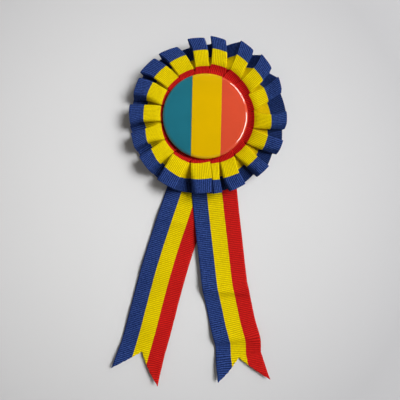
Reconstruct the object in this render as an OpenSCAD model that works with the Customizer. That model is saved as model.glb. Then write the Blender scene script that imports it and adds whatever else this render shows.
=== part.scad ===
// Ribbon cockade: a ring of box-pleated ribbon with three stripes, a domed button badge on its
// middle and two swallow-tailed ribbon ends, lying face up as it is laid down.
// Z is up from the surface that it lies on, and Y runs from the tails towards the top of the
// badge. The origin is on that surface, under the middle of the pleated ring.

/* [Ribbon] */
// Width of the ribbon, three stripes of a third each
ribbon_w = 32; // [24:1:40]
// Thickness of the ribbon's cloth
ribbon_t = 1; // [0.8:0.1:1.2]
// Clear gap kept between pieces that lie on each other
gap = 0.3; // [0.2:0.05:0.5]

/* [Pleated ring] */
// Diameter of the ring over the faces of its pleats
ruffle_d = 108; // [100:1:130]
// Height of a pleat at the ring's inner edge, where the badge presses on it
pleat_h_in = 3.2; // [3:0.1:4]
// How far the faces climb from the badge to the outer edge
face_climb = 4.5; // [2:0.5:8]
// How far the valley floors fall from the backing disc to the outer edge
floor_fall = 2.5; // [1:0.1:2.6]
// How much nearer to the middle the ribbon lies in a valley than on a face
valley_in = 1.4; // [0:0.1:3]
// Length that a fold takes off each side of its corner
fold_cut = 1.7; // [1.4:0.1:2.2]
// Crown of a face between its two folds
face_crown = 0.3; // [0:0.1:1]

/* [Badge] */
// Diameter of the button badge
badge_d = 58; // [50:1:66]
// Height of the button's straight side, between its rolled rim and its shoulder
badge_side_h = 0.4; // [0.2:0.1:2]
// How far the dome stands above the end of its shoulder
badge_crown = 1.4; // [0.6:0.2:2]
// Radius of the rounded shoulder
badge_shoulder_r = 2.8; // [2:0.2:3.4]
// Thickness of the button's shell
badge_wall = 1; // [0.6:0.1:1.2]
// Radius of the rolled rim underneath
badge_roll_r = 1.2; // [1:0.1:1.6]
// Width of the rim that is rolled in under the back plate
badge_lip_w = 3; // [2.5:0.5:5]
// Thickness of the back plate's flange over the lip
badge_flange_t = 0.9; // [0.6:0.1:1.2]
// Place of the badge to the right of the ring's middle
badge_x = -1.5; // [-3:0.1:3]
// Place of the badge above the ring's middle
badge_y = -0.6; // [-3:0.1:3]

/* [Backing disc] */
// Diameter of the disc behind the pleated ring
disc_d = 54; // [50:1:60]
// Thickness of the disc
disc_t = 1.2; // [0.8:0.1:2]

/* [Brooch pin] */
// Length of the pin's base bar
pin_bar_l = 34; // [28:1:40]
// Width of the base bar
pin_bar_w = 6; // [4:0.5:8]
// Thickness of the base bar
pin_bar_t = 0.8; // [0.6:0.1:1.2]
// Height of the pin from the surface to the disc
pin_h = 3.6; // [3.4:0.1:4]
// Diameter of the pin's wire
pin_wire_d = 1; // [0.8:0.1:1.2]
// Length of the hinge block, and of the catch at the other end
pin_end_l = 4; // [3:0.5:6]
// Width of the hinge block and of the catch
pin_end_w = 4; // [3:0.5:4]
// Clear height under the pin's wire
pin_wire_low = 0.5; // [0.3:0.1:0.8]
// Place of the pin above the ring's middle
pin_y = 11; // [9:0.5:14]

/* [Tails] */
// Length of the left tail from its sewn end to its tips
tail_left_l = 180; // [120:1:240]
// Length of the right tail from its sewn end to its tips
tail_right_l = 177; // [120:1:240]
// Depth of the notch cut into each tail
notch_h = 17; // [10:1:24]
// Place of the tails' sewn ends below the ring's middle
tail_seat_y = 10; // [6:0.5:14]
// Place of the left tail's sewn end to the right of the ring's middle
tail_left_x = 1; // [-4:0.1:4]
// Place of the right tail's sewn end to the right of the ring's middle
tail_right_x = 0.8; // [-4:0.1:4]
// Length over which a tail comes down from the disc to the surface
tail_ramp_l = 44; // [36:1:60]

/* [Hidden] */
$fn = 96;

// Pleats, clockwise from the top. The face of each starts and ends at these angles beside the
// badge, and at these at its outer edge. Reach is how much further out its ribbon lies, and
// pull how much nearer the middle the valley after it lies, as shares of the ribbon's width.
// Flank is the share of the gap before it that its left side slopes through.
// [from_in, to_in, from_out, to_out, reach, pull, flank]
PLEATS = [
    [  4.0,  22.0,   2.5,  14.5, -0.015, 0.00, 0.10],
    [ 23.5,  42.5,  24.0,  35.5,  0.035, -0.07, 0.15],
    [ 44.0,  61.5,  41.5,  54.0,  0.025, -0.07, 0.20],
    [ 62.7,  82.5,  61.5,  72.0,  0.010, -0.04, 0.20],
    [ 83.7, 105.0,  86.5,  99.0, -0.015, -0.03, 0.50],
    [106.5, 125.0, 108.0, 118.5, -0.010, 0.01, 0.55],
    [126.5, 144.5, 129.0, 140.5,  0.000, 0.02, 0.55],
    [146.2, 164.3, 149.0, 163.5,  0.010, 0.02, 0.50],
    [165.5, 175.7, 168.5, 176.0,  0.000, 0.00, 0.20],
    [176.9, 200.0, 177.6, 191.0, -0.010, 0.00, 0.10],
    [201.6, 221.0, 203.0, 219.0,  0.045, 0.00, 0.45],
    [222.2, 240.0, 222.5, 239.0,  0.030, 0.00, 0.20],
    [241.3, 259.0, 242.0, 257.0,  0.005, 0.02, 0.20],
    [262.4, 281.0, 264.0, 278.0, -0.015, 0.00, 0.40],
    [282.2, 300.4, 282.0, 299.0, -0.025, 0.00, 0.20],
    [303.0, 322.2, 302.5, 317.5, -0.015, 0.03, 0.15],
    [323.4, 342.8, 321.5, 336.0, -0.090, 0.05, 0.15],
    [344.4, 362.8, 345.0, 357.5, -0.045, 0.04, 0.10]];

// Sections across the ribbon, from its inner edge outwards. Under is the share of the width
// that the badge covers and open the share of the rest. Rise and fall are shares of the faces'
// climb and of the floors' fall, and spread is the way from a pleat's inner angles to its outer
// ones. Narrow is the share of a face's width that is taken off each side, and tuck how far its
// feet stand in under it, as a share of the ribbon's width.
// [under, open, rise, fall, spread, narrow, tuck]
SECTIONS = [
    [0, 0.00, 0.00, 0.00, 0.00, 0.12,  0.000],
    [1, 0.00, 0.00, 0.00, 0.00, 0.07,  0.004],
    [1, 0.17, 0.32, 0.22, 0.00, 0.00,  0.030],
    [1, 0.45, 0.64, 0.50, 0.36, 0.00,  0.028],
    [1, 0.74, 0.88, 0.78, 0.70, 0.00,  0.008],
    [1, 1.00, 1.00, 1.00, 1.00, 0.00, -0.010]];

// Courses of the tails from the sewn end. At is the share of the length and heading the
// direction in degrees from straight down, to the right. Left, middle and right are how high
// the ribbon's edges and middle are raised off what they lie on, and splay how far a tip
// stands out, as shares of the ribbon's width.
// [at, heading, left, middle, right, splay]
LEFT_COURSE = [
    [0.000, -17.5, 0.000, 0.000, 0.000, 0.00],
    [0.260, -18.5, 0.010, 0.000, 0.000, 0.00],
    [0.420, -18.5, 0.035, 0.000, 0.000, 0.00],
    [0.600, -15.5, 0.030, 0.000, 0.000, 0.00],
    [0.740, -14.0, 0.030, 0.000, 0.000, 0.00],
    [0.840, -15.0, 0.015, 0.010, 0.010, 0.00],
    [0.920, -17.0, 0.055, 0.050, 0.045, 0.00],
    [1.000, -17.0, 0.095, 0.090, 0.110, 0.05]];
RIGHT_COURSE = [
    [0.000,   5.0, 0.000, 0.000, 0.000, 0.00],
    [0.300,   5.5, 0.000, 0.000, 0.000, 0.00],
    [0.420,   6.5, 0.060, 0.035, 0.000, 0.00],
    [0.600,   6.5, 0.060, 0.020, 0.000, 0.00],
    [0.640,  11.5, 0.050, 0.015, 0.000, 0.00],
    [0.740,  12.0, 0.015, 0.000, 0.000, 0.00],
    [0.780,  16.0, 0.000, 0.000, 0.000, 0.00],
    [0.830,  14.0, 0.020, 0.020, 0.010, 0.00],
    [0.860,   6.0, 0.035, 0.030, 0.020, 0.00],
    [0.900,   8.0, 0.060, 0.055, 0.035, 0.00],
    [1.000,  17.0, 0.110, 0.100, 0.090, 0.08]];
// Share of the notch's depth that the left and the right tip of each tail reach, as their ends
// curl up
LEFT_TIPS = [0.90, 0.96];
RIGHT_TIPS = [0.72, 1.00];
// Share of the right tail's length over which it lies on the left one, and at which it has
// come down from it
OVER_UNTIL = 0.33;
OVER_END = 0.52;
// Steps along a tail, and those of them that lead into its tips, which begin this share of the
// ribbon's width before the notch
TAIL_STATIONS = 30;
TIP_ROWS = 5;
TIP_PLAIN = 0.28;
// Places of a tail's points across the ribbon, as shares of its width
ACROSS = [0, 0.17, 0.34, 0.5, 0.66, 0.83, 1];

tip_plain_l = TIP_PLAIN * ribbon_w;

// Heights of the layers above the surface
disc_z = pin_h + gap;
ruffle_z = disc_z + disc_t + gap;
badge_z = ruffle_z + pleat_h_in + gap;
tail_right_z = pin_h - ribbon_t;
tail_left_z = tail_right_z - ribbon_t - gap;
floor_mid = ruffle_z + ribbon_t / 2;
face_mid = ruffle_z + pleat_h_in - ribbon_t / 2;

// Button: height and radii of its outline
shoulder_x = badge_d / 2 - badge_shoulder_r;
shoulder_z = badge_roll_r + badge_side_h;
badge_h = shoulder_z + badge_shoulder_r + badge_crown;
dome_r = (pow(shoulder_x, 2) + pow(badge_shoulder_r + badge_crown, 2) - pow(badge_shoulder_r, 2))
    / (2 * badge_crown);

// Ring: width of the ribbon that the badge lies on, and the place across the ribbon and the
// radius of a section
inner_r = ruffle_d / 2 - ribbon_w;
covered_w = badge_d / 2 - badge_roll_r + norm([badge_x, badge_y]) + gap - inner_r;
function across_mm(s) = s[0] * covered_w + s[1] * (ribbon_w - covered_w);
function ring_r(s) = inner_r + across_mm(s);

function arc_mm(angle, r) = angle * PI / 180 * r;
function mix(a, b, t) = a + (b - a) * t;
function unit(v) = v / norm(v);
function flat2(p) = [p[0], p[1]];

// Most of a side's length that one fold may take
CUT_MOST = 0.46;

// Points round one folded corner b between a and c. A corner is [along, height, outwards], and
// a point of the fold has its direction added as two more values.
function fold(a, b, c, n) =
    let (
        la = norm(flat2(b) - flat2(a)),
        lc = norm(flat2(c) - flat2(b)),
        cut = min(fold_cut, CUT_MOST * la, CUT_MOST * lc),
        p = mix(b, a, cut / la),
        q = mix(b, c, cut / lc))
    [for (i = [0 : n])
        let (t = i / n, from = mix(p, b, t), to = mix(b, q, t))
        concat(mix(from, to, t), unit(flat2(to) - flat2(from)))];

// The pleat after k, with its angles a whole turn on where it is the first one again
TURN = [360, 360, 360, 360, 0, 0, 0];
function next_pleat(k) = k == len(PLEATS) - 1 ? PLEATS[0] + TURN : PLEATS[k + 1];

// Length along a section at which a pleat's face starts or ends
function face_edge(pleat, s, r, side) =
    let (
        from = arc_mm(mix(pleat[0], pleat[2], s[4]), r) + ribbon_t / 2,
        to = arc_mm(mix(pleat[1], pleat[3], s[4]), r) - ribbon_t / 2)
    mix(from, to, side < 0 ? s[5] : 1 - s[5]);

// Points of a section from the middle of the face of pleat k, down into the valley after it and
// up to the next face
function pleat_points(k, s) =
    let (
        r = ring_r(s),
        w = across_mm(s),
        own = PLEATS[k],
        next = next_pleat(k),
        top = face_mid + face_climb * s[2],
        low = floor_mid - floor_fall * s[3],
        out = own[4] * w,
        next_out = next[4] * w,
        inwards = -valley_in - own[5] * w,
        tuck = s[6] * ribbon_w,
        x_left = face_edge(own, s, r, -1),
        x_right = face_edge(own, s, r, 1),
        x_next = face_edge(next, s, r, -1),
        next_right = face_edge(next, s, r, 1),
        slope = next[6] * s[4] * (x_next - x_right),
        left = [x_left, top, out],
        right = [x_right, top, out],
        foot = [x_right - tuck, low, inwards],
        next_foot = [x_next + tuck - slope, low, inwards],
        next_left = [x_next, top, next_out],
        next_corner = [next_right, top, next_out],
        crown = [0, s[1] > 0 ? face_crown : 0, 0],
        right_fold = fold(left, right, foot, 3),
        down = fold(right, foot, next_foot, 2),
        up = fold(foot, next_foot, next_left, 2),
        left_fold = fold(next_foot, next_left, next_corner, 3))
    concat([concat(mix(left, right, 0.5) + crown, [1, 0])], right_fold, down, up, left_fold);

function section_points(s) = [for (k = [0 : len(PLEATS) - 1]) each pleat_points(k, s)];

// Points of one section on one side of the cloth: side is 1 for the front and -1 for the back
function cloth_row(s, side) =
    let (r = ring_r(s))
    [for (p = section_points(s))
        let (
            angle = (p[0] - p[4] * side * ribbon_t / 2) / r * 180 / PI,
            height = p[1] + p[3] * side * ribbon_t / 2,
            out = r + p[2])
        [out * sin(angle), out * cos(angle), height]];

// Triangles of one cell a, b, c, d of a cloth's first side, and of its other side, whose points
// come by more places later in the list
function two_sides(a, b, c, d, by) =
    [[a, c, b], [b, c, d], [a + by, b + by, c + by], [b + by, d + by, c + by]];

// Triangles of the edge between the two sides, from a to b
function rim(a, b, by) = [[a, b, a + by], [b, b + by, a + by]];

// A closed ring of cloth from its front and back rows, from the inner edge to the outer one
module ring_cloth(fronts, backs) {
    rows = len(fronts);
    n = len(fronts[0]);
    back_at = rows * n;
    points = concat([for (row = fronts) each row], [for (row = backs) each row]);
    sides = [for (i = [0 : rows - 2], j = [0 : n - 1])
        let (a = i * n + j, b = i * n + (j + 1) % n, c = a + n, d = b + n)
        each two_sides(a, b, c, d, back_at)];
    inner_rim = [for (j = [0 : n - 1]) each rim(j, (j + 1) % n, back_at)];
    outer_rim = [for (j = [0 : n - 1])
        each rim((rows - 1) * n + (j + 1) % n, (rows - 1) * n + j, back_at)];
    polyhedron(points, concat(sides, inner_rim, outer_rim), convexity = 10);
}

module ruffle() {
    color("royalblue")
    ring_cloth([for (s = SECTIONS) cloth_row(s, 1)], [for (s = SECTIONS) cloth_row(s, -1)]);
}

// Tails: values of a course at a share of its length
function course(rows, at, column) = lookup(at, [for (row = rows) [row[0], row[column]]]);
function ease(t) = let (u = min(1, max(0, t))) u * u * (3 - 2 * u);

// Places along a tail's middle line as [length, x, y], by steps along its headings
function route(rows, length, x0) =
    let (step = length / TAIL_STATIONS)
    [for (i = 0, x = x0, y = -tail_seat_y; i <= TAIL_STATIONS;
        x = x + step * sin(course(rows, (i + 0.5) / TAIL_STATIONS, 1)),
        y = y - step * cos(course(rows, (i + 0.5) / TAIL_STATIONS, 1)),
        i = i + 1) [i * step, x, y]];

// Height of a tail's underside at a length along it, a share across it and a place along Y
function tail_low(rows, length, seat, over, s, c, y) =
    let (
        at = s / length,
        left = course(rows, at, 2),
        middle = course(rows, at, 3),
        right = course(rows, at, 4),
        raised = c < 0.5 ? mix(left, middle, c * 2) : mix(middle, right, c * 2 - 1),
        rest = over * (1 - ease((at - OVER_UNTIL) / (OVER_END - OVER_UNTIL))),
        down = ease((-tail_seat_y - y) / tail_ramp_l))
    mix(seat, rest, down) + raised * ribbon_w;

// One row of a tail's points across it, all at the same share e of the cut end's depth
function tail_row(rows, tips, length, line, seat, over, s, e) =
    [for (c = ACROSS)
        let (
            away = abs(2 * c - 1),
            along = s + e * (tip_plain_l + notch_h * away * tips[c < 0.5 ? 0 : 1]),
            at = along / length,
            heading = course(rows, at, 1),
            side = (c - 0.5) * ribbon_w * (1 + 2 * course(rows, at, 5) * e),
            x = lookup(along, [for (p = line) [p[0], p[1]]]),
            y = lookup(along, [for (p = line) [p[0], p[2]]]) + side * sin(heading))
        [x + side * cos(heading), y, tail_low(rows, length, seat, over, along, c, y)]];

// A closed strip of cloth on the rows of its underside
module strip_cloth(lows) {
    rows = len(lows);
    n = len(lows[0]);
    top_at = rows * n;
    under = [for (row = lows) each row];
    points = concat(under, [for (p = under) p + [0, 0, ribbon_t]]);
    sides = [for (i = [0 : rows - 2], j = [0 : n - 2])
        let (a = i * n + j, b = a + 1, c = a + n, d = b + n)
        each two_sides(a, b, c, d, top_at)];
    left_edge = [for (i = [0 : rows - 2]) each rim((i + 1) * n, i * n, top_at)];
    right_edge = [for (i = [1 : rows - 1]) each rim(i * n - 1, (i + 1) * n - 1, top_at)];
    sewn_end = [for (j = [0 : n - 2]) each rim(j, j + 1, top_at)];
    cut_end = [for (j = [0 : n - 2]) each rim((rows - 1) * n + j + 1, (rows - 1) * n + j, top_at)];
    polyhedron(points, concat(sides, left_edge, right_edge, sewn_end, cut_end), convexity = 6);
}

module tail(rows, tips, length, x0, seat, over) {
    line = route(rows, length, x0);
    plain = length - notch_h - tip_plain_l;
    body_rows = [for (i = [0 : TAIL_STATIONS - TIP_ROWS])
        tail_row(rows, tips, length, line, seat, over, plain * i / (TAIL_STATIONS - TIP_ROWS), 0)];
    tip_rows = [for (i = [1 : TIP_ROWS])
        tail_row(rows, tips, length, line, seat, over, plain, i / TIP_ROWS)];
    strip_cloth(concat(body_rows, tip_rows));
}

module tail_left() {
    color("gold")
    tail(LEFT_COURSE, LEFT_TIPS, tail_left_l, tail_left_x, tail_left_z, 0);
}

module tail_right() {
    color("crimson")
    tail(RIGHT_COURSE, RIGHT_TIPS, tail_right_l, tail_right_x, tail_right_z, ribbon_t + gap);
}

// Upper half outline of the button: a shallow dome that runs tangent into a round shoulder, and
// a straight side down to low. It is drawn smaller by inset for the hollow.
module button_outline(inset, low) {
    intersection() {
        translate([0, badge_h - dome_r]) circle(r = dome_r - inset, $fn = 360);
        translate([0, shoulder_z])
            square([shoulder_x * (dome_r - inset) / (dome_r - badge_shoulder_r), badge_h]);
    }
    intersection() {
        translate([shoulder_x, shoulder_z]) circle(r = badge_shoulder_r - inset);
        translate([shoulder_x, shoulder_z]) square(badge_shoulder_r);
    }
    translate([0, low]) square([badge_d / 2 - inset, shoulder_z - low]);
}

module badge_shell() {
    color("goldenrod")
    translate([badge_x, badge_y, badge_z])
    rotate_extrude() difference() {
        union() {
            button_outline(0, badge_roll_r);
            square([badge_d / 2 - badge_roll_r, badge_roll_r]);
            intersection() {
                translate([badge_d / 2 - badge_roll_r, badge_roll_r]) circle(r = badge_roll_r);
                translate([badge_d / 2 - badge_roll_r, 0]) square(badge_roll_r);
            }
        }
        button_outline(badge_wall, badge_wall);
        translate([0, -badge_wall]) square([badge_d / 2 - badge_lip_w, badge_wall * 3]);
    }
}

module badge_back() {
    lip_r = badge_d / 2 - badge_lip_w;
    flange_r = badge_d / 2 - badge_wall - gap;
    color("silver")
    translate([badge_x, badge_y, badge_z]) {
        cylinder(r = lip_r - gap, h = badge_wall + gap);
        translate([0, 0, badge_wall + gap]) cylinder(r = flange_r, h = badge_flange_t);
    }
}

module backing_disc() {
    color("whitesmoke")
    translate([0, 0, disc_z]) cylinder(d = disc_d, h = disc_t);
}

// One plain bar pin: base bar, hinge block, catch and the wire between them
module brooch_pin() {
    end_at = (pin_bar_l - pin_end_l) / 2;
    color("lightgray")
    translate([0, pin_y, 0]) {
        translate([-pin_bar_l / 2, -pin_bar_w / 2, pin_h - pin_bar_t])
            cube([pin_bar_l, pin_bar_w, pin_bar_t]);
        for (x = [-end_at, end_at])
            translate([x - pin_end_l / 2, -pin_end_w / 2, 0])
                cube([pin_end_l, pin_end_w, pin_h]);
        translate([-end_at, 0, pin_wire_low + pin_wire_d / 2])
            rotate([0, 90, 0]) cylinder(d = pin_wire_d, h = 2 * end_at);
    }
}

ruffle();
badge_shell();
badge_back();
backing_disc();
tail_left();
tail_right();
brooch_pin();
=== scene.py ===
import math
from collections import namedtuple

import bmesh
import bpy
import numpy as np
from bpy.props import FloatProperty, FloatVectorProperty, PointerProperty
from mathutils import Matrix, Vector


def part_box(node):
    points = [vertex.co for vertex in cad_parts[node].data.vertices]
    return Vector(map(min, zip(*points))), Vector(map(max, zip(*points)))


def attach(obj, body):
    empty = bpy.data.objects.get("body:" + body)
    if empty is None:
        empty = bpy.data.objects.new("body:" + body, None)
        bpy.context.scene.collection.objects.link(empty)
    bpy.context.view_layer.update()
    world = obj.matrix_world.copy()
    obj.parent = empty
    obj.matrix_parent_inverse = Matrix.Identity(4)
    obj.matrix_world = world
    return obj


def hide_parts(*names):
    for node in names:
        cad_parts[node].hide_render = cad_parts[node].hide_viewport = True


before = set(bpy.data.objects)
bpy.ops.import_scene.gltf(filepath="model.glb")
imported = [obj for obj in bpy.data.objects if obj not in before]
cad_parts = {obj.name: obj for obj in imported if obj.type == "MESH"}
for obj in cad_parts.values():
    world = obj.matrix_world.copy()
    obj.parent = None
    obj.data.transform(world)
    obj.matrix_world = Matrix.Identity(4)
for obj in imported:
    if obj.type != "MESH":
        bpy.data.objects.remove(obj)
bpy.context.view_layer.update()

bl_info = {
    "name": "Ribbon cockade",
    "version": (1, 0, 0),
    "blender": (4, 5, 0),
    "location": "3D View > Sidebar > Cockade",
    "description": "Pleated ribbon cockade with a button badge, two tails and a brooch pin",
    "category": "Object",
}

MM = 0.001


def node_box(node):
    """Lowest and highest corner of a solid of the frame, as arrays in metres."""
    low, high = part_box(node)
    return np.array(low), np.array(high)


BADGE_LOW, BADGE_HIGH = node_box("badge_shell")
PLATE_LOW, PLATE_HIGH = node_box("badge_back")
DISC_LOW, DISC_HIGH = node_box("backing_disc")
PIN_LOW, PIN_HIGH = node_box("brooch_pin")
BADGE_RADIUS = (BADGE_HIGH[0] - BADGE_LOW[0]) / 2
BADGE_CENTRE = (BADGE_HIGH + BADGE_LOW) / 2
# The camera looks straight down from here
CAMERA_X, CAMERA_Y = -5.1 * MM, -57.6 * MM


# Sizes and colours that a user would change

def size(name, description, default):
    return FloatProperty(name=name, description=description, default=default, unit="LENGTH")


def tint(name, description, default):
    return FloatVectorProperty(name=name, description=description, default=default, subtype="COLOR")


class RibbonSettings(bpy.types.PropertyGroup):
    width: size("Width", "Width of the ribbon, three stripes of a third each", 32 * MM)
    thickness: size("Thickness", "Thickness of the ribbon between its ribs", 0.42 * MM)
    rib_pitch: size("Rib pitch", "Distance from one woven rib to the next", 1.3 * MM)
    rib_height: size("Rib height", "How far a rib stands above the groove beside it", 0.20 * MM)
    blue: tint("Blue", "Colour of the stripe at the outer edge", (0.010, 0.030, 0.148))
    yellow: tint("Yellow", "Colour of the middle stripe", (0.78, 0.63, 0.002))
    red: tint("Red", "Colour of the stripe at the inner edge", (0.55, 0.013, 0.011))


class RuffleSettings(bpy.types.PropertyGroup):
    diameter: size("Diameter", "Diameter of the ring over the faces of its pleats", 108 * MM)
    face_climb: size("Face climb", "How far the faces climb to the outer edge", 4.5 * MM)
    floor_fall: size("Floor fall", "How far the valley floors fall to the outer edge", 2.5 * MM)
    shingle: size("Shingle", "How far a face passes over the one before it, at the badge", 1.2 * MM)
    shingle_tilt: size("Shingle tilt", "How much lower a face's right side lies there", 1.1 * MM)


class TailSettings(bpy.types.PropertyGroup):
    left_length: size("Left length", "Length of the left tail from its sewn end to its tips", 180 * MM)
    right_length: size("Right length", "The same of the right tail", 179 * MM)
    notch: size("Notch", "Depth of the notch cut into each tail", 19 * MM)
    seat_y: size("Sewn end", "Place of the sewn ends below the ring's middle", 10 * MM)
    ramp: size("Ramp", "Length over which a tail comes down from the disc", 44 * MM)


class BadgeSettings(bpy.types.PropertyGroup):
    teal: tint("Teal", "Colour of the printed stripe on the left", (0.017, 0.172, 0.235))
    yellow: tint("Yellow", "Colour of the printed stripe in the middle", (0.76, 0.46, 0.001))
    orange_red: tint("Orange red", "Colour of the printed stripe on the right", (0.70, 0.080, 0.034))
    stripe: size("Middle stripe", "Width of the middle stripe of the print", 19.9 * MM)
    stripe_x: size("Stripe place", "How far right of the badge's middle its stripe lies", 0.75 * MM)
    turn: FloatProperty(
        name="Turn", description="How far the print is turned", default=math.radians(1.3), subtype="ANGLE")


class StageSettings(bpy.types.PropertyGroup):
    camera_height: size("Camera height", "Height of the camera above the floor", 283 * MM)
    key_power: FloatProperty(
        name="Key light", description="Power of the large light at the right, in watts", default=45, min=0)
    gloss_power: FloatProperty(
        name="Gloss", description="Power of the windows that gloss mirrors, in watts a square metre",
        default=68, min=0)
    sky: FloatProperty(
        name="Room light", description="Strength of the dim light from all round", default=0.30, min=0)


class CockadeSettings(bpy.types.PropertyGroup):
    ribbon: PointerProperty(type=RibbonSettings)
    ruffle: PointerProperty(type=RuffleSettings)
    tails: PointerProperty(type=TailSettings)
    badge: PointerProperty(type=BadgeSettings)
    stage: PointerProperty(type=StageSettings)


# Tables of the folds, the same as the solids have, with what the eye sees besides

# Faces of the pleats, clockwise from the top. Each starts and ends at these angles a third of the
# ribbon's width from its inner edge, two thirds from it and at its outer edge. There its left and
# right sides lie this much further out than the ring's round stripes, in millimetres.
Pleat = namedtuple("Pleat", "starts ends left_out right_out")
PLEATS = [Pleat(*row) for row in (
    ((4, 4, 2), (22, 17.5, 14), (2.5, 1.8, -0.7), (2.2, 1.1, -1.9)),
    ((26, 25.5, 24), (42, 38, 35.5), (2.4, 2.1, 1.0), (1.3, 1.2, -0.2)),
    ((43.5, 44, 41.5), (62, 58, 54), (1.2, 1.3, 0.9), (0.6, 1.2, -0.1)),
    ((62.5, 63, 61.5), (83, 77, 72.5), (-0.9, -0.4, 0.3), (-0.1, -0.4, -0.8)),
    ((85, 89, 86.5), (105, 102, 99.5), (-0.4, -0.1, -0.4), (0.1, 0.6, -0.1)),
    ((105.5, 108, 108.5), (125, 122, 119), (0.1, -0.1, 0), (0.3, 0.6, 0.3)),
    ((127, 129.5, 129.5), (145, 142.5, 141), (0.3, 0.7, 0.1), (0.2, 0.6, -0.1)),
    ((146.5, 151, 151), (165, 166, 164), (0.5, 1.3, -0.7), (0.5, 0.8, -0.2)),
    ((166, 169, 169), (176.5, 176, 176), (0.2, 1.2, -0.7), (0.2, 0.8, -0.6)),
    ((177, 176, 176.5), (199.5, 194.5, 191), (-1.1, -0.4, -1.5), (1.6, 1.1, -0.2)),
    ((202.5, 203.5, 204), (222.5, 220, 218.5), (1.9, 2.8, 1.1), (2.4, 2.2, 1.4)),
    ((222.5, 224, 223.5), (240.5, 239.5, 239), (0.9, 2.7, 0.7), (0.9, 1.3, 0.3)),
    ((241, 244.5, 243.5), (260.5, 258, 257), (0.5, 1.3, 0.2), (-0.5, -0.1, -0.7)),
    ((263, 264, 262.5), (282, 279.5, 278), (-0.5, 0.2, -1.1), (-0.4, -0.1, -0.9)),
    ((282.5, 284, 282), (302, 301.5, 299), (-0.5, -0.2, -1.8), (-0.3, -0.3, -1.4)),
    ((304.5, 304.5, 302), (323, 320.5, 317), (0.3, 0.8, -0.2), (0.1, 0.1, -1.4)),
    ((324, 323.5, 321), (343.5, 340.5, 336.5), (0.9, 0.2, -1.4), (0.7, -0.2, -3.7)),
    ((346, 347, 345), (361.5, 360.5, 358), (1.3, 1.0, -1.1), (1.2, 0.8, -1.9)))]

# The valley before each of the same pleats, and the pleat's own rounding. Near is the share of the
# height at which the valley's ribbon starts under the pleat before, lift the share at which it
# comes up under this one, and flat the share of the valley's width at which it bends. Pull is how
# much nearer the middle its outer edge lies at the pleat before, and far_pull at this one. At its
# left and right a face rolls off over a share of its width and drops by a share of its height. Sink
# and dip are how much lower the face lies at the red and between the yellow and the blue, in
# millimetres as the pulls. The last column is how much painted shade darkens the valley's colour.
Fold = namedtuple("Fold", "near lift flat pull far_pull roll_l drop_l roll_r drop_r sink dip dye",
                  defaults=(0, 0, 0))
FOLDS = [Fold(*row) for row in (
    (0, 0, 0.3, 3.2, 2.4, 0.04, 0.05, 0.1, 0.14),
    (0, 0.85, 0, 1.9, 0, 0.04, 0.05, 0.12, 0.14),
    (0, 0.85, 0, -0.2, 0, 0.04, 0.05, 0.12, 0.18, 0.6, 0.3, 0.15),
    (0, 0.8, 0, 0.4, 0, 0.05, 0.06, 0.2, 0.45, 1.4, 2.6, 0.25),
    (0.9, 0.1, 0.5, 1.3, -1.3, 0.18, 0.22, 0.26, 0.55, 2.2, 0.5, 0.8),
    (0.6, 0, 0.6, 1.5, -1.2, 0.05, 0.06, 0.3, 0.55, 2.3, 0.6, 0.7),
    (0.6, 0, 0.6, 2.5, -0.3, 0.05, 0.06, 0.24, 0.5, 2.2, 0.6, 0.75),
    (0.6, 0, 0.6, 3, 1.3, 0.05, 0.06, 0.12, 0.26, 1.4, 0.3, 0.6),
    (0, 0, 0.2, 2.2, 1.6, 0.1, 0.12, 0.12, 0.15, 0.8, 0, 0.1),
    (0, 0, 0, 1, 1, 0.05, 0.06, 0.18, 0.3),
    (0, 1, 0.75, 0.5, 0, 0.06, 0.06, 0.1, 0.15, 0, 0, 0.3),
    (0, 0, 0.6, -0.7, -0.3, 0.23, 0.8, 0.1, 0.15, 0, 0, 0.1),
    (0, 0, 0.5, 0, 0, 0.17, 0.8, 0.1, 0.15, 0, 0, 0.1),
    (0, 0.2, 0.6, 0.8, -0.6, 0.14, 0.4, 0.08, 0.12),
    (0, 0, 0.4, 1.3, 1, 0.24, 0.85, 0.08, 0.12),
    (0, 0, 0.2, 0.7, 0.5, 0.04, 0.05, 0.08, 0.12),
    (0, 0, 0.3, 1.9, 1.9, 0.04, 0.05, 0.08, 0.12),
    (0, 0, 0.4, 3.9, 3.6, 0.04, 0.05, 0.08, 0.12))]

# Sections across the ring's ribbon from its inner edge outwards. Under is the share of the width
# that the badge covers and open the share of the rest. Rise and fall are shares of the faces'
# climb and of the floors' fall, spread how far the folds have come to their outer shape, and tuck
# how far the pleats' feet stand in under them, as a share of the ribbon's width.
Section = namedtuple("Section", "under open rise fall spread tuck")
SECTIONS = [Section(*row) for row in (
    (0, 0.00, 0.00, 0.00, 0.00, 0.010),
    (1, 0.00, 0.02, 0.00, 0.00, 0.014),
    (1, 0.17, 0.66, 0.22, 0.20, 0.020),
    (1, 0.45, 0.84, 0.50, 0.50, 0.024),
    (1, 0.74, 0.95, 0.78, 0.80, 0.010),
    (1, 1.00, 1.00, 1.00, 1.00, -0.004))]

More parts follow.
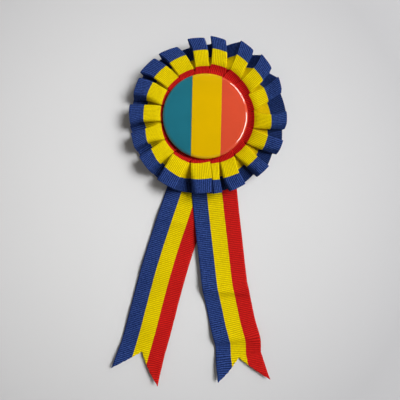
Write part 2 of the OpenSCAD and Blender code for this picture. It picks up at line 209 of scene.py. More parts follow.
# Courses of the tails from the sewn end. At is the share of the length and heading the direction
# in degrees from straight down, to the right. Left, middle and right are how high the ribbon's
# edges and middle are raised off what they lie on, and splay how far a tip stands out, as shares
# of the ribbon's width.
Station = namedtuple("Station", "at heading left middle right splay", defaults=(0, 0, 0, 0))
LEFT_COURSE = [Station(*row) for row in (
    (0, -17.5),
    (0.26, -18.5, 0.01),
    (0.42, -18.5, 0.035, 0.02),
    (0.6, -15.5, 0.035, 0.055, 0.02),
    (0.74, -14, 0.035, 0.065, 0.02),
    (0.8, -15, 0.035, 0.065, 0.02),
    (0.86, -16, 0.035, 0.05, 0.04),
    (0.92, -17, 0.06, 0.07, 0.075, 0.03),
    (0.97, -17, 0.085, 0.09, 0.11, 0.04),
    (1, -17, 0.1, 0.1, 0.17, 0.05))]
RIGHT_COURSE = [Station(*row) for row in (
    (0, 5),
    (0.28, 5.5),
    (0.36, 6.5, 0.06, 0.04, 0.02),
    (0.45, 6.5, 0.09, 0.055, 0.03),
    (0.595, 6.5, 0.09, 0.05, 0.03),
    (0.625, 13.5, 0.075, 0.055, 0.045),
    (0.66, 12.5, 0.025, 0.01),
    (0.74, 11, 0.02, 0.01),
    (0.77, 15, 0.035, 0.035, 0.03),
    (0.82, 16.5, 0.05, 0.055, 0.05),
    (0.842, 3, 0.03, 0.03, 0.025),
    (0.875, 1.5, 0.03, 0.025, 0.02),
    (0.895, 9, 0.06, 0.045, 0.035, 0.04),
    (0.93, 11.5, 0.09, 0.075, 0.055, 0.06),
    (1, 12.5, 0.13, 0.11, 0.11, 0.08))]

# Soft bends and creases of a tail. At is the share of the length where one crosses the middle,
# slant how much further along it lies at the right edge than at the left, rise its height, and
# before and after how far it reaches to both sides, in millimetres.
Bend = namedtuple("Bend", "at slant rise before after")
LEFT_BENDS = [Bend(*row) for row in (
    (0.37, -4, 1.3, 12, 4.5),
    (0.59, 3, 1, 12, 8),
    (0.78, 2, 0.5, 9, 7))]
RIGHT_BENDS = [Bend(*row) for row in (
    (0.29, 2, 0.4, 12, 12),
    (0.628, 11, 1.7, 9, 2.8),
    (0.812, 8, 2, 8, 4.5))]

# A tail's course and bends, how far right of the middle it is sewn on, how much of the notch's depth
# its left and right tips have and how far their cuts bow, and how high it lies on the other tail.
TailShape = namedtuple("TailShape", "course bends seat_x tips bows over")


# Curves and lookups

# Points of a rounded corner, and the longest share of a stretch that one takes up
BEND_STEPS = 8
LONGEST_CUT = 0.48


def mix(a, b, t):
    return a + (b - a) * t


def ease(t):
    """A smooth step from 0 to 1."""
    t = np.clip(t, 0, 1)
    return t * t * (3 - 2 * t)


def smooth_lookup(xs, ys, at):
    """Values of a smooth curve through a short table, which doesn't swing past its points."""
    xs, ys, at = (np.asarray(a, float) for a in (xs, ys, at))
    gaps = np.diff(xs)
    rises = np.diff(ys) / gaps
    slopes = np.zeros(len(xs))
    slopes[0], slopes[-1] = rises[0], rises[-1]
    same = rises[:-1] * rises[1:] > 0
    safe = np.where(same, rises[:-1] + rises[1:], 1)
    slopes[1:-1] = np.where(same, 2 * rises[:-1] * rises[1:] / safe, 0)
    i = np.clip(np.searchsorted(xs, at, side="right") - 1, 0, len(xs) - 2)
    t = np.clip((at - xs[i]) / gaps[i], 0, 1)
    t2, t3 = t * t, t * t * t
    return (ys[i] * (2 * t3 - 3 * t2 + 1) + slopes[i] * gaps[i] * (t3 - 2 * t2 + t)
            + ys[i + 1] * (3 * t2 - 2 * t3) + slopes[i + 1] * gaps[i] * (t3 - t2))


def table_lookup(xs, rows, name, at):
    """The same for one column of a table."""
    return smooth_lookup(xs, [getattr(row, name) for row in rows], at)


def rounded(corners, cuts):
    """A path along corners, each rounded off over its cut, and the place of each one's middle.
    The first and the last corner only give the directions at the path's ends."""
    path, marks = [], []
    for before, here, after, cut in zip(corners, corners[1:], corners[2:], cuts):
        to_before, to_after = np.linalg.norm(before - here), np.linalg.norm(after - here)
        cut = min(cut, LONGEST_CUT * to_before, LONGEST_CUT * to_after)
        start, end = mix(here, before, cut / to_before), mix(here, after, cut / to_after)
        marks.append(len(path) + BEND_STEPS // 2)
        for t in np.linspace(0, 1, BEND_STEPS + 1):
            path.append(mix(mix(start, here, t), mix(here, end, t), t))
    return np.array(path), marks


def resampled(path, cells):
    """Points at equal distances along a path, without its last one."""
    lengths = np.r_[0, np.cumsum(np.linalg.norm(np.diff(path, axis=0), axis=1))]
    at = np.linspace(0, lengths[-1], cells + 1)[:-1]
    return np.stack([np.interp(at, lengths, column) for column in path.T], axis=1)


def path_length(path):
    return float(np.linalg.norm(np.diff(path, axis=0), axis=1).sum())


def unit(vectors):
    return vectors / np.maximum(np.linalg.norm(vectors, axis=-1, keepdims=True), 1e-12)


def facing_up(vectors):
    """Normals of a surface, all turned over if most of them look down."""
    return -vectors if np.median(vectors[:, 2]) < 0 else vectors


# Meshes

def in_scene(name, mesh, material, smooth=True):
    """An object of a mesh, linked to the scene."""
    mesh.materials.append(material)
    if smooth:
        mesh.shade_smooth()
    piece = bpy.data.objects.new(name, mesh)
    bpy.context.scene.collection.objects.link(piece)
    return piece


def closed_object(name, points, faces, material, uv_maps=None):
    """A closed piece from points and faces, with corner UVs by name and its faces outwards."""
    mesh = bpy.data.meshes.new(name)
    mesh.from_pydata([tuple(p) for p in points], [], faces)
    for layer_name, corners in (uv_maps or {}).items():
        mesh.uv_layers.new(name=layer_name).data.foreach_set("uv", corners.astype(np.float32).ravel())
    mesh.validate()
    net = bmesh.new()
    net.from_mesh(mesh)
    bmesh.ops.recalc_face_normals(net, faces=net.faces)
    net.to_mesh(mesh)
    net.free()
    return in_scene(name, mesh, material)


def turned_object(name, profile, centre, sides, material, pucker=None):
    """A round piece from its outline of (r, z), closed on its axis. Pucker gives how much further
    out and up a point lies for its r, z and angle."""
    angles = np.linspace(0, 2 * math.pi, sides, endpoint=False)
    points = [(centre[0], centre[1], centre[2] + profile[0][1])]
    for r, z in profile[1:-1]:
        out, up = pucker(r, z, angles) if pucker else (0, 0)
        ring = [centre[0] + (r + out) * np.sin(angles), centre[1] + (r + out) * np.cos(angles),
                centre[2] + z + up + angles * 0]
        points += list(np.stack(ring, axis=1))
    points.append((centre[0], centre[1], centre[2] + profile[-1][1]))
    rings, last = len(profile) - 2, len(points) - 1
    faces = []
    for j in range(sides):
        k = (j + 1) % sides
        column = [(1 + i * sides + j, 1 + i * sides + k) for i in range(rings)]
        faces.append((0, column[0][1], column[0][0]))
        faces += [(*one, *two[::-1]) for one, two in zip(column, column[1:])]
        faces.append((last, *column[-1]))
    return closed_object(name, points, faces, material)


def hand_in(piece, node):
    """Lets a piece ride on the part's only body in place of a solid of the frame."""
    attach(piece, "root")
    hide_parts(node)


# Ribbon: ribs, selvedges and the layout of its two sides

RIB_CELLS = 6
# A rib's top is rounder for a smaller power, and its mean height is taken off
RIB_POWER, RIB_MEAN = 0.6, 0.72
# Towards its selvedges the ribbon thins by this share over this distance, and the selvedges
# swell by this much at each rib
SELVEDGE_THINS, SELVEDGE_REACH, SELVEDGE_SWELL = 0.35, 0.35 * MM, 0.12 * MM
# In the baked picture each side fills this many rows, with these margins
BAKE_ROWS, BAKE_MARGIN, BAKE_GAP = 3, 0.004, 0.04


def rib_profile(along, pitch):
    """Height share of the woven ribs: round tops and narrow grooves, with a mean of zero."""
    return np.abs(np.sin(np.pi * along / pitch)) ** RIB_POWER - RIB_MEAN


def bake_place(along, across, side, length, width):
    """Place in the baked picture: each side of the ribbon lies in rows above each other."""
    row_length = length / BAKE_ROWS
    row = np.clip(np.floor(along.mean(axis=1, keepdims=True) / row_length), 0, BAKE_ROWS - 1)
    x = mix(BAKE_MARGIN, 1 - BAKE_MARGIN, along / row_length - row)
    y = row + side * BAKE_ROWS + mix(BAKE_GAP, 1 - BAKE_GAP, across / width)
    return np.stack([x, y / (2 * BAKE_ROWS)], axis=-1)


def ribbon_object(name, along, across, middle, normal, faces, rims, length, ribbon, material):
    """A ribbon with two ribbed sides. Along and across are the places of its points on the flat
    ribbon. Faces are arrays of corners with their own alongs, and rims the edges of its outline
    with theirs."""
    rib = rib_profile(along, ribbon.rib_pitch) * ribbon.rib_height / 2
    edge = np.minimum(across, ribbon.width - across)
    half = (ribbon.thickness / 2 + rib) * (1 - SELVEDGE_THINS * np.exp(-edge / SELVEDGE_REACH))
    skin = normal * half[:, None]
    count = len(middle)
    made, places = [], {"Ribbon": [], "OFBake": []}

    def add(corners, face_along, side):
        face_across = across[corners % count]
        made.extend(corners.tolist())
        places["Ribbon"].append(np.stack([face_along, face_across], axis=-1).reshape(-1, 2))
        baked = bake_place(face_along, face_across, side, length, ribbon.width)
        places["OFBake"].append(baked.reshape(-1, 2))

    for corners, face_along in faces:
        add(corners, face_along, 0)
        add(corners[:, ::-1] + count, face_along[:, ::-1], 1)
    a, b, along_a, along_b = rims
    add(np.stack([b, a, a + count, b + count], axis=1),
        np.stack([along_b, along_a, along_a, along_b], axis=1), 0)
    return closed_object(name, np.concatenate([middle + skin, middle - skin]), made, material,
                         {layer: np.concatenate(corners) for layer, corners in places.items()})


# The pleated ring

# Places across the ring's ribbon, as shares of its width, closer at its selvedges and stripes
ACROSS = np.array([0, 0.012, 0.06, 0.14, 0.23, 0.30, 0.36, 0.44, 0.53, 0.62, 0.70, 0.78,
                   0.86, 0.93, 0.988, 1.0])
# Shares of the width at which the pleats' table gives its measures
PLEAT_PLACES = (1 / 3, 2 / 3, 1)
# The faces overlap as far out as the first share of the width, and have parted at the second
CLOSED_UNTIL, OPEN_FROM = 0.20, 0.36
# Over this share of the width outside the first place, the valleys' outer edges are pulled in
PULL_REACH = 0.5
# How deep a valley is under the faces at shares of the ribbon's width, near the red and the yellow
SHALLOW_PLACES = (0.12, 0.30, 0.50, 0.64, 0.80)
SHALLOW_DEPTHS = (3.2 * MM, 2.0 * MM, 4.6 * MM, 8.0 * MM, 12 * MM)
# The badge's edge turns under by this much
RIM_INSET = 0.9 * MM
LAYER_GAP = 0.1 * MM
# How high the faces lie over the disc at their inner edge
FACE_START = 3.5 * MM
# At the inner edge a face rolls off over these shares of its width, right and left, and drops by
# this share of its height, and a valley comes up at least this far under the next face
INNER_ROLLS, INNER_DROP, INNER_LIFT = (0.05, 0.07), 0.06, 0.35
# A valley passes under the next face by the first measure, or stops short by the second where it
# comes up to it. Where the faces overlap, it passes further, by this many times their overlap
UNDER_REACH, RISEN_SHORT, UNDER_SHINGLES = 1.2 * MM, 0.5 * MM, 3
# The narrowest floor and the least share of it before its bend
FLOOR_LEAST, FLAT_LEAST = 0.5 * MM, 0.15
# A wall ends at this share of the height, and a tilted face's crest has this share of its tilt
WALL_TOP, CREST_TILT = 0.94, 0.8
# How long the folds at a pleat's corners are, at the inner and the outer edge, in millimetres
CUTS = ((0.5, 2.0), (0.5, 0.55), (0.6, 1.2), (1.2, 1.2), (0.6, 1.5), (0.5, 0.4), (0.6, 2.0))
# The corners between which a pleat's cells are spread evenly: its right nose and foot and the
# next pleat's left foot and nose
MARKED = (1, 2, 4, 5)
# How much of a valley's painted shade the wall, the floor, the next wall and the next face get
VALLEY_SHADE_SHARES = (0.6, 1, 0.8, 0)
# Every seventh stretch round the ring gets a cell more, until whole ribs fit
EXTRA_STRIDE = 7


def section_at(share, ring, ribbon):
    """The section's values at a share of the ribbon's width."""
    inner = ring.diameter / 2 - ribbon.width
    covered = BADGE_RADIUS - RIM_INSET + math.hypot(BADGE_CENTRE[0], BADGE_CENTRE[1]) - inner
    places = [s.under * covered + s.open * (ribbon.width - covered) for s in SECTIONS]
    values = {name: float(table_lookup(places, SECTIONS, name, share * ribbon.width))
              for name in ("rise", "fall", "spread", "tuck")}
    values["share"] = share
    values["radius"] = inner + share * ribbon.width
    return values


def opened(share):
    """How far the faces have parted at a share of the ribbon's width."""
    return ease((share - CLOSED_UNTIL) / (OPEN_FROM - CLOSED_UNTIL))


def pleat_edge(values, share):
    """A pleat's measure at a share of the ribbon's width, the same inside the first place."""
    return float(smooth_lookup(PLEAT_PLACES, values, max(share, PLEAT_PLACES[0])))


def gap_ends(k, share, radius, closed, ring, ribbon):
    """Where pleat k ends and the next one starts, which meet where the ring is closed."""
    turns, k = divmod(k, len(PLEATS))
    own, after = PLEATS[k], PLEATS[(k + 1) % len(PLEATS)]
    whole = 360 if k == len(PLEATS) - 1 else 0
    end, start = pleat_edge(own.ends, share), pleat_edge(after.starts, share) + whole
    middle = (own.ends[0] + after.starts[0] + whole) / 2
    right, left = (math.radians(mix(angle, middle, closed) + 360 * turns) * radius
                   for angle in (end, start))
    skin = ribbon.thickness / 2
    return right - skin, left + skin - ring.shingle * closed


def pleat_corners(k, values, ring, ribbon):
    """Seven corners of pleat k in a section as (along, height, outwards)."""
    own, after = PLEATS[k], PLEATS[(k + 1) % len(PLEATS)]
    own_fold, fold = FOLDS[k], FOLDS[(k + 1) % len(PLEATS)]
    spread, radius, share = values["spread"], values["radius"], values["share"]
    skin = ribbon.thickness / 2
    closed = 1 - float(opened(share))
    left = gap_ends(k - 1, share, radius, closed, ring, ribbon)[1]
    right, next_left = gap_ends(k, share, radius, closed, ring, ribbon)
    next_right = gap_ends(k + 1, share, radius, closed, ring, ribbon)[0]
    width, next_width = right - left, next_right - next_left

    # Heights of the two faces and of the valley's floor
    faces = DISC_HIGH[2] + FACE_START - skin + ring.face_climb * values["rise"]
    top, next_top = (faces - pleat_edge((each.sink, each.dip, 0), share) * MM
                     for each in (own_fold, fold))
    low = DISC_HIGH[2] + LAYER_GAP + skin - (ring.floor_fall - LAYER_GAP) * values["fall"]
    low = max(low, min(top, next_top) - float(smooth_lookup(SHALLOW_PLACES, SHALLOW_DEPTHS, share)))

    # How far outwards the faces' sides and the valley's ends lie
    out, next_out = pleat_edge(own.right_out, share) * MM, pleat_edge(after.left_out, share) * MM
    pulled = float(ease((share - PLEAT_PLACES[0]) / PULL_REACH))
    half_out = mix(out, next_out, 0.5)
    inwards = mix(half_out, -fold.pull * MM, pulled)
    far_inwards = mix(half_out, mix(-fold.far_pull * MM, next_out, fold.lift), pulled)

    # The faces' rounded sides
    tilt = ring.shingle_tilt * closed
    roll_r, roll_l = (mix(inner, outer, spread)
                      for inner, outer in zip(INNER_ROLLS, (own_fold.roll_r, fold.roll_l)))
    drop_r = mix(INNER_DROP, own_fold.drop_r, spread) * (top - low) + tilt
    drop_l = mix(INNER_DROP, fold.drop_l, spread) * (next_top - low)

    # The valley's feet
    tuck = values["tuck"] * ribbon.width
    lift = mix(mix(INNER_LIFT, 1, fold.lift), fold.lift, spread) * (1 - closed)
    foot = right - tuck
    next_foot = next_left + mix(tuck + UNDER_REACH * spread, -RISEN_SHORT, lift)
    next_foot = max(next_foot + ring.shingle * UNDER_SHINGLES * closed, foot + FLOOR_LEAST)
    flat = max(fold.flat, FLAT_LEAST)
    start_z = mix(low, top - drop_r, fold.near * spread * WALL_TOP)
    end_z = mix(low, next_top - drop_l, lift * WALL_TOP)
    bend_z = mix(start_z, end_z, flat) if fold.near else low
    return [np.array(corner) for corner in (
        (right - roll_r * width, top - tilt * CREST_TILT, out),
        (right, top - drop_r, out),
        (foot, start_z, inwards),
        (mix(foot, next_foot, flat), bend_z, mix(inwards, far_inwards, flat)),
        (next_foot, end_z, far_inwards),
        (next_left, next_top - drop_l, next_out),
        (next_left + roll_l * next_width, next_top, next_out))]


def section_pieces(share, ring, ribbon):
    """The stretches of a whole section between its marked corners, in order."""
    values = section_at(share, ring, ribbon)
    corners = [c for k in range(len(PLEATS)) for c in pleat_corners(k, values, ring, ribbon)]
    cuts = [mix(inner, outer, values["spread"]) * MM for inner, outer in CUTS] * len(PLEATS)
    whole_turn = np.array([2 * math.pi * values["radius"], 0, 0])
    path, marks = rounded([corners[-1] - whole_turn, *corners, corners[0] + whole_turn], cuts)
    stops = [marks[k * len(CUTS) + m] for k in range(len(PLEATS)) for m in MARKED]
    stops.append(len(path) + stops[0])
    path = np.concatenate([path, path[:stops[0] + 1] + whole_turn])
    return [path[start:stop + 1] for start, stop in zip(stops, stops[1:])]


def ruffle_surface(ring, ribbon):
    """Points (rows across, columns round) of the ring's middle surface, the painted shade of its
    valleys, and the surface's length along its outer edge."""
    sections = [section_pieces(share, ring, ribbon) for share in ACROSS]
    cell = ribbon.rib_pitch / RIB_CELLS
    cells = [max(2, round(path_length(piece) / cell)) for piece in sections[-1]]
    for i in range(-sum(cells) % RIB_CELLS):
        cells[i * EXTRA_STRIDE % len(cells)] += 1
    # Painted shade of each valley, spread over its wall, floor, next wall and next face
    valley_shades = [fold.dye * share for fold in FOLDS[1:] + FOLDS[:1] for share in VALLEY_SHADE_SHARES]
    valley_shading = np.repeat(valley_shades, cells)
    valley_shading = sum(np.roll(valley_shading, turn) for turn in (-1, 0, 1)) / 3
    rows = []
    for share, pieces in zip(ACROSS, sections):
        flat = np.concatenate([resampled(piece, n) for piece, n in zip(pieces, cells)])
        radius = ring.diameter / 2 - ribbon.width * (1 - share)
        angle, out = flat[:, 0] / radius, radius + flat[:, 2]
        rows.append(np.stack([out * np.sin(angle), out * np.cos(angle), flat[:, 1]], axis=1))
    return np.array(rows), np.outer(opened(ACROSS), valley_shading), sum(cells) * cell


def build_ruffle(settings, material):
    """The ring: one closed ribbon, gathered on the disc."""
    ring, ribbon = settings.ruffle, settings.ribbon
    middle, valley_shading, length = ruffle_surface(ring, ribbon)
    rows, columns = middle.shape[:2]
    round_way = np.roll(middle, -1, axis=1) - np.roll(middle, 1, axis=1)
    out_way = unit(np.gradient(middle, axis=0))
    normal = facing_up(unit(np.cross(out_way, round_way)).reshape(-1, 3))
    step = length / columns
    along = np.arange(columns) * step
    swell = rib_profile(along, ribbon.rib_pitch)[:, None] * SELVEDGE_SWELL
    middle[0] -= out_way[0] * swell
    middle[-1] += out_way[-1] * swell

    first = np.arange(columns)
    second = (first + 1) % columns
    line = np.stack([first, second, second + columns, first + columns], axis=1)
    corners = (np.arange(rows - 1)[:, None, None] * columns + line).reshape(-1, 4)
    ends = np.stack([along, along + step, along + step, along], axis=1)
    outer = (rows - 1) * columns
    rims = (np.r_[first, second + outer], np.r_[second, first + outer],
            np.r_[along, along + step], np.r_[along + step, along])
    piece = ribbon_object(
        "ruffle_ribbon", np.tile(along, rows), np.repeat(ACROSS * ribbon.width, columns),
        middle.reshape(-1, 3), normal, [(corners, np.tile(ends, (rows - 1, 1)))], rims, length,
        ribbon, material)
    # The valleys' painted shade, stored on the points for the material
    dye = piece.data.attributes.new("Dye", "FLOAT", "POINT")
    dye.data.foreach_set("value", np.tile(valley_shading.ravel(), 2).astype(np.float32))
    hand_in(piece, "ruffle")


# The tails

TAIL_ACROSS = 22
# Shares of the cells' places across that are even rather than closer at the selvedges
TAIL_EVEN = 0.75
# Steps along a tail's middle line, and how many of them its headings are smoothed over
TAIL_STEPS, TAIL_SMOOTHED = 720, 25
# A tip stands out from this share of the ribbon's width above the notch
TIP_PLAIN = 0.28
# A tail's raised edges bend up from its middle as this power of the distance
EDGE_POWER = 1.6
# Soft bends have their full height from this share of the length, and this power
BENDS_FROM, BEND_POWER = 0.25, 1.5
# Over the floor or what else it lies on, a tail's middle is this many thicknesses high
LYING = 0.75
# The right tail lies on the left one as far as the first share of its length, and beside it from
# the second
OVER_UNTIL, OVER_END = 0.33, 0.52
# The cloth is moved by a bowed cut over this distance, and the cut wavers by this much in these
# waves across the ribbon, in radians
CUT_REACH, CUT_RAGGED, CUT_WAVES = 7 * MM, 0.10 * MM, (91, 57)
# The notch is cut into cells from this far above it and this far over the middle
CUT_ABOVE, CUT_OVER = 3 * MM, 0.5 * MM
# A tail's slopes are measured between places this far to both sides, along and as a share across
PROBE_ALONG, PROBE_ACROSS = 0.05 * MM, 0.002


def tail_line(shape, length, seat_y):
    """The tail's middle line: lengths, places and headings."""
    at = np.linspace(0, 1, TAIL_STEPS + 1)
    heading = np.radians(np.interp(at, [s.at for s in shape.course],
                                   [s.heading for s in shape.course]))
    kernel = np.hanning(TAIL_SMOOTHED)
    padded = np.pad(heading, TAIL_SMOOTHED // 2, mode="edge")
    heading = np.convolve(padded, kernel / kernel.sum(), mode="valid")
    middle = (heading[:-1] + heading[1:]) / 2
    step = length / TAIL_STEPS
    x = shape.seat_x + np.r_[0, np.cumsum(np.sin(middle))] * step
    y = -seat_y - np.r_[0, np.cumsum(np.cos(middle))] * step
    return at * length, x, y, heading


def bend_height(bends, at, share, length):
    """Height of the soft bends and creases at a share of the length and across."""
    total = np.zeros_like(at)
    for bend in bends:
        away = (at - bend.at) * length - bend.slant * MM * (share - 0.5)
        reach = np.where(away < 0, bend.before, bend.after) * MM
        total += bend.rise * MM * np.exp(-np.abs(away / reach) ** BEND_POWER)
    return total * ease(at / BENDS_FROM)


def tail_place(shape, length, tails, ribbon, low_seat, along, share):
    """Places of a tail's middle surface at lengths along it and shares across it."""
    at = along / length
    line_at, line_x, line_y, headings = tail_line(shape, length, tails.seat_y)
    heading = np.interp(along, line_at, headings)
    stations = [station.at for station in shape.course]
    left, middle, right, splay = (table_lookup(stations, shape.course, name, at)
                                  for name in ("left", "middle", "right", "splay"))
    tip_start = length - tails.notch - TIP_PLAIN * ribbon.width
    end = np.clip((along - tip_start) / (length - tip_start), 0, 1)
    side = (share - 0.5) * ribbon.width * (1 + 2 * splay * end)
    x = np.interp(along, line_at, line_x) + side * np.cos(heading)
    y = np.interp(along, line_at, line_y) + side * np.sin(heading)
    bow = share * 2 - 1
    raised = middle + np.where(bow < 0, left - middle, right - middle) * np.abs(bow) ** EDGE_POWER
    rest = shape.over * (1 - ease((at - OVER_UNTIL) / (OVER_END - OVER_UNTIL)))
    down = ease((-tails.seat_y - y) / tails.ramp)
    z = mix(low_seat, rest, down) + raised * ribbon.width + ribbon.thickness * LYING
    return np.stack([x, y, z + bend_height(shape.bends, at, share, length)], axis=-1)


def tail_net(shape, length, tails, ribbon):
    """Flat net of a tail, cut to its notch: points (along, across) and faces."""
    cell = ribbon.rib_pitch / RIB_CELLS
    rows = round(length / cell)
    even = np.linspace(0, 1, TAIL_ACROSS + 1)
    shares = mix(np.sin((even - 0.5) * math.pi) * 0.5 + 0.5, even, TAIL_EVEN)
    net = bmesh.new()
    grid = [[net.verts.new((i * cell, share * ribbon.width, 0)) for share in shares]
            for i in range(rows + 1)]
    for one, two in zip(grid, grid[1:]):
        for j in range(TAIL_ACROSS):
            net.faces.new((one[j], one[j + 1], two[j + 1], two[j]))
    apex, middle = length - tails.notch, ribbon.width / 2
    for tip, sign in zip(shape.tips, (-1, 1)):
        touched = []
        for face in net.faces:
            centre = face.calc_center_median()
            if (centre.y - middle) * sign > -CUT_OVER and centre.x > apex - CUT_ABOVE:
                touched += [face, *face.edges, *face.verts]
        bmesh.ops.bisect_plane(net, geom=list(dict.fromkeys(touched)), dist=1e-7,
                               plane_co=(apex, middle, 0), plane_no=(-sign * middle, tails.notch * tip, 0))
    gone = []
    for face in net.faces:
        centre = face.calc_center_median()
        tip = shape.tips[0 if centre.y < middle else 1]
        if centre.x > apex + tails.notch * tip * abs(centre.y - middle) / middle:
            gone.append(face)
    bmesh.ops.delete(net, geom=gone, context="FACES")
    bmesh.ops.triangulate(net, faces=[face for face in net.faces if len(face.verts) > 4])
    net.verts.index_update()
    net.faces.ensure_lookup_table()
    return net


def cut_shift(shape, length, tails, along, share, rim):
    """How far the bowed and uneven cut moves the cloth along the tail."""
    apex = length - tails.notch
    aside = np.abs(share * 2 - 1)
    tip, bow = (np.where(share < 0.5, *pair) for pair in (shape.tips, shape.bows))
    near = np.clip((along - apex - tails.notch * tip * aside) / CUT_REACH + 1, 0, 1)
    # The bow is deepest halfway from the notch to a tip
    shift = bow * 4 * aside * (1 - aside) * near ** 2
    at_cut = np.zeros(len(along))
    at_cut[rim] = 1
    at_cut *= (aside < 0.999) & (along > apex - 1 * MM)
    wavering = sum(np.sin(share * wave + start) for start, wave in enumerate(CUT_WAVES))
    return shift + CUT_RAGGED * wavering * at_cut


def build_tail(name, node, shape, length, low_seat, settings, material):
    """One swallow-tailed ribbon end, laid on the floor."""
    tails, ribbon = settings.tails, settings.ribbon
    net = tail_net(shape, length, tails, ribbon)
    flat = np.array([(v.co.x, v.co.y) for v in net.verts])
    faces = []
    for sides in (3, 4):
        corners = np.array([[v.index for v in f.verts] for f in net.faces if len(f.verts) == sides])
        faces.append((corners, flat[:, 0][corners]))
    loops = [edge.link_loops[0] for edge in net.edges if len(edge.link_faces) == 1]
    rim_from = np.array([loop.vert.index for loop in loops])
    rim_to = np.array([loop.link_loop_next.vert.index for loop in loops])
    net.free()
    flat_along, share = flat[:, 0], flat[:, 1] / ribbon.width
    along = flat_along + cut_shift(shape, length, tails, flat_along, share, rim_from)

    def place(a, s):
        return tail_place(shape, length, tails, ribbon, low_seat, a, s)

    down_way = place(along + PROBE_ALONG, share) - place(along - PROBE_ALONG, share)
    right_way = place(along, share + PROBE_ACROSS) - place(along, share - PROBE_ACROSS)
    normal = facing_up(unit(np.cross(down_way, right_way)))
    swell = rib_profile(along, ribbon.rib_pitch) * SELVEDGE_SWELL
    side = np.where(share < 1e-4, -1, np.where(share > 1 - 1e-4, 1, 0))
    middle = place(along, share) + unit(right_way) * (swell * side)[:, None]
    # A tail's red stripe is its right one
    piece = ribbon_object(name, flat_along, ribbon.width - flat[:, 1], middle, normal, faces,
                          (rim_from, rim_to, along[rim_from], along[rim_to]), length, ribbon, material)
    hand_in(piece, node)


# Shader sums written as Python

def sums(operation):
    """The methods of an operator, with a value first and, reflected, with it second."""
    def first(self, other):
        return self.nodes.maths(operation, self, other)

    def second(self, other):
        return self.nodes.maths(operation, other, self)

    return first, second


class Value:
    """A number on a shader socket, with Python's arithmetic."""

    __add__, __radd__ = sums("ADD")
    __sub__, __rsub__ = sums("SUBTRACT")
    __mul__, __rmul__ = sums("MULTIPLY")
    __truediv__, __rtruediv__ = sums("DIVIDE")
    __pow__, __rpow__ = sums("POWER")

    def __init__(self, nodes, socket):
        self.nodes = nodes
        self.socket = socket

    def __abs__(self):
        return self.nodes.maths("ABSOLUTE", self)


class Nodes:
    """The nodes of a material or of the room's light."""

    def __init__(self, tree):
        self.tree = tree

    def join(self, value, socket):
        """Links a value to a socket, or sets the socket to a number or colour."""
        if isinstance(value, Value):
            self.tree.links.new(value.socket, socket)
        else:
            socket.default_value = value

    def node(self, kind, settings=None, inputs=None, output=0):
        """A node of this kind: its settings first, then the values or links of its sockets."""
        made = self.tree.nodes.new(kind)
        for name, value in (settings or {}).items():
            setattr(made, name, value)
        for name, value in (inputs or {}).items():
            self.join(value, made.inputs[name])
        return Value(self, made.outputs[output]) if made.outputs else None

    def maths(self, operation, *values):
        return self.node("ShaderNodeMath", {"operation": operation}, dict(enumerate(values)))

    def clamp(self, value):
        return self.node("ShaderNodeClamp", {}, {"Value": value})

    def step(self, value, low, high, first=0, last=1):
        """A smooth step of value from first at low to last at high."""
        return self.node("ShaderNodeMapRange", {"interpolation_type": "SMOOTHSTEP"}, {
            "Value": value, "From Min": low, "From Max": high, "To Min": first, "To Max": last})

    def blend(self, factor, first, second, kind="MIX"):
        """A mix of two colours."""
        return self.node("ShaderNodeMix", {"data_type": "RGBA", "blend_type": kind},
                         {"Factor": factor, 6: first, 7: second}, output=2)

    def noise(self, vector, scale, detail=2, roughness=0.5):
        return self.node("ShaderNodeTexNoise", {}, {
            "Vector": vector, "Scale": scale, "Detail": detail, "Roughness": roughness})

    def vector(self, operation, first, second, output=0):
        return self.node("ShaderNodeVectorMath", {"operation": operation}, {0: first, 1: second}, output)

    def parts(self, vector):
        """The three numbers of a vector."""
        first = self.node("ShaderNodeSeparateXYZ", {}, {0: vector})
        return [Value(self, socket) for socket in first.socket.node.outputs]


class Paint(Nodes):
    """A procedural material with one Principled shader."""

    def __init__(self, name, **sockets):
        self.material = bpy.data.materials.new(name)
        self.material.use_nodes = True
        super().__init__(self.material.node_tree)
        self.tree.nodes.clear()
        surface = self.node("ShaderNodeBsdfPrincipled")
        self.node("ShaderNodeOutputMaterial", {}, {"Surface": surface})
        self.shader = surface.socket.node
        self.place = self.node("ShaderNodeTexCoord", output="Object")
        self.set(**sockets)

    def set(self, **sockets):
        """Sets or links the shader's own sockets, named with underscores for spaces."""
        for name, value in sockets.items():
            self.join(value, self.shader.inputs[name.replace("_", " ")])

    def bump(self, height, strength, distance):
        self.set(Normal=self.node("ShaderNodeBump", {}, {
            "Height": height, "Strength": strength, "Distance": distance}))

    def striped(self, masks, colours):
        """The first colour, under each further one where its mask is."""
        striped = rgb(colours[0])
        for mask, colour in zip(masks, colours[1:]):
            striped = self.blend(mask, striped, rgb(colour))
        return striped


def rgb(colour, factor=1):
    """A colour made paler or deeper, with the fourth number that sockets ask for."""
    return (*(min(1.0, c * factor) for c in tuple(colour)[:3]), 1.0)


# Materials. The scale of a noise is in cells a metre, so 1000 gives spots of a millimetre.

